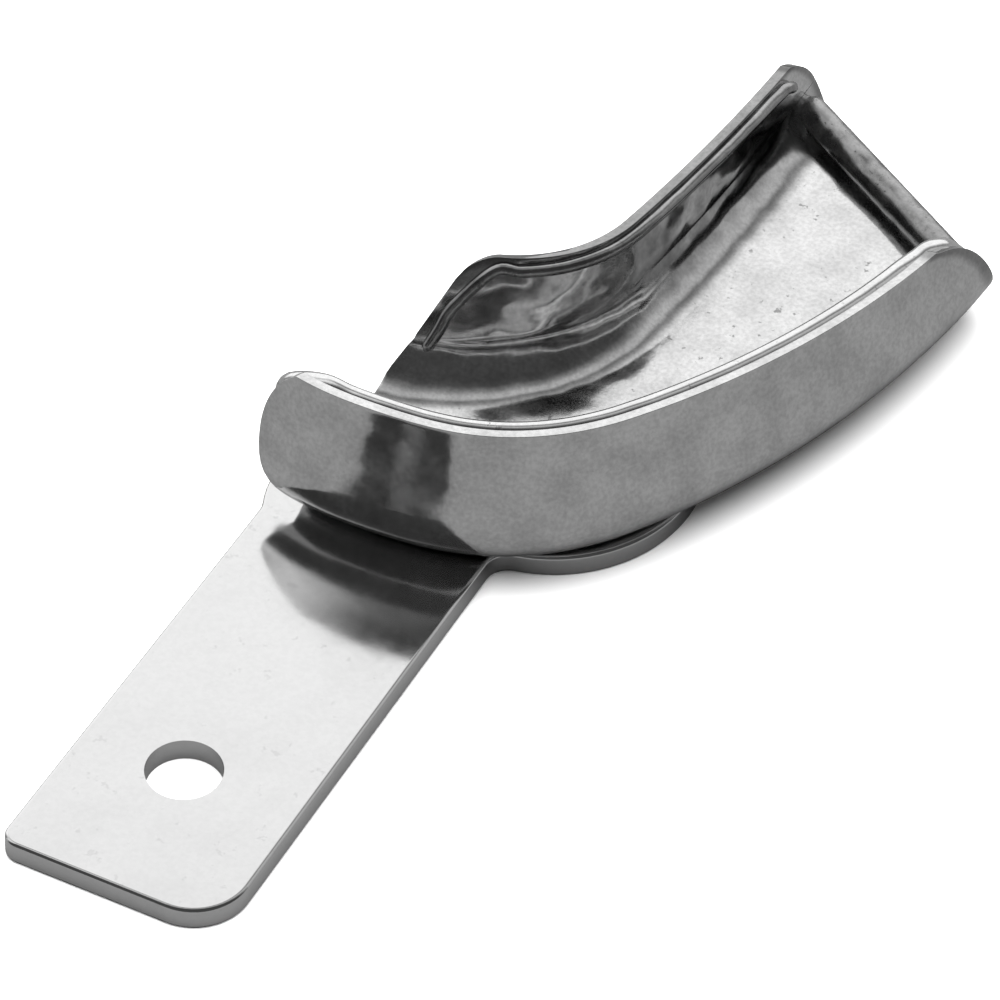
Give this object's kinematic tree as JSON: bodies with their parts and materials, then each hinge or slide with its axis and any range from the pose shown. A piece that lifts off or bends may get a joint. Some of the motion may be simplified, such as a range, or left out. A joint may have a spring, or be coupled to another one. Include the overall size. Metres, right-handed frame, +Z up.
{
  "type": "dental impression tray",
  "caption": "Partial dental impression tray in bright steel: curved trough with retention beads along its rims and heel, soldered to a flat handle with a hanging hole.",
  "frame": {"origin": "axis of the hanging hole at the underside of the handle plate", "axes": "+Y from the hanging hole along the handle toward the heel of the trough, +Z up out of the open side of the trough, +X toward the cheek side"},
  "size_m": [0.0449, 0.1073, 0.0168],
  "materials": {
    "trough_steel": "mirror polished stainless sheet",
    "bead_steel": "polished stainless wire",
    "handle_steel": "polished stainless plate",
    "solder": "dull solder"
  },
  "bodies": {
    "root": {"tray_body": "trough_steel", "outer_rim_bead": "bead_steel", "inner_rim_bead": "bead_steel", "heel_bead": "bead_steel", "handle_plate": "handle_steel", "solder_layer": "solder"}
  },
  "joints": []
}
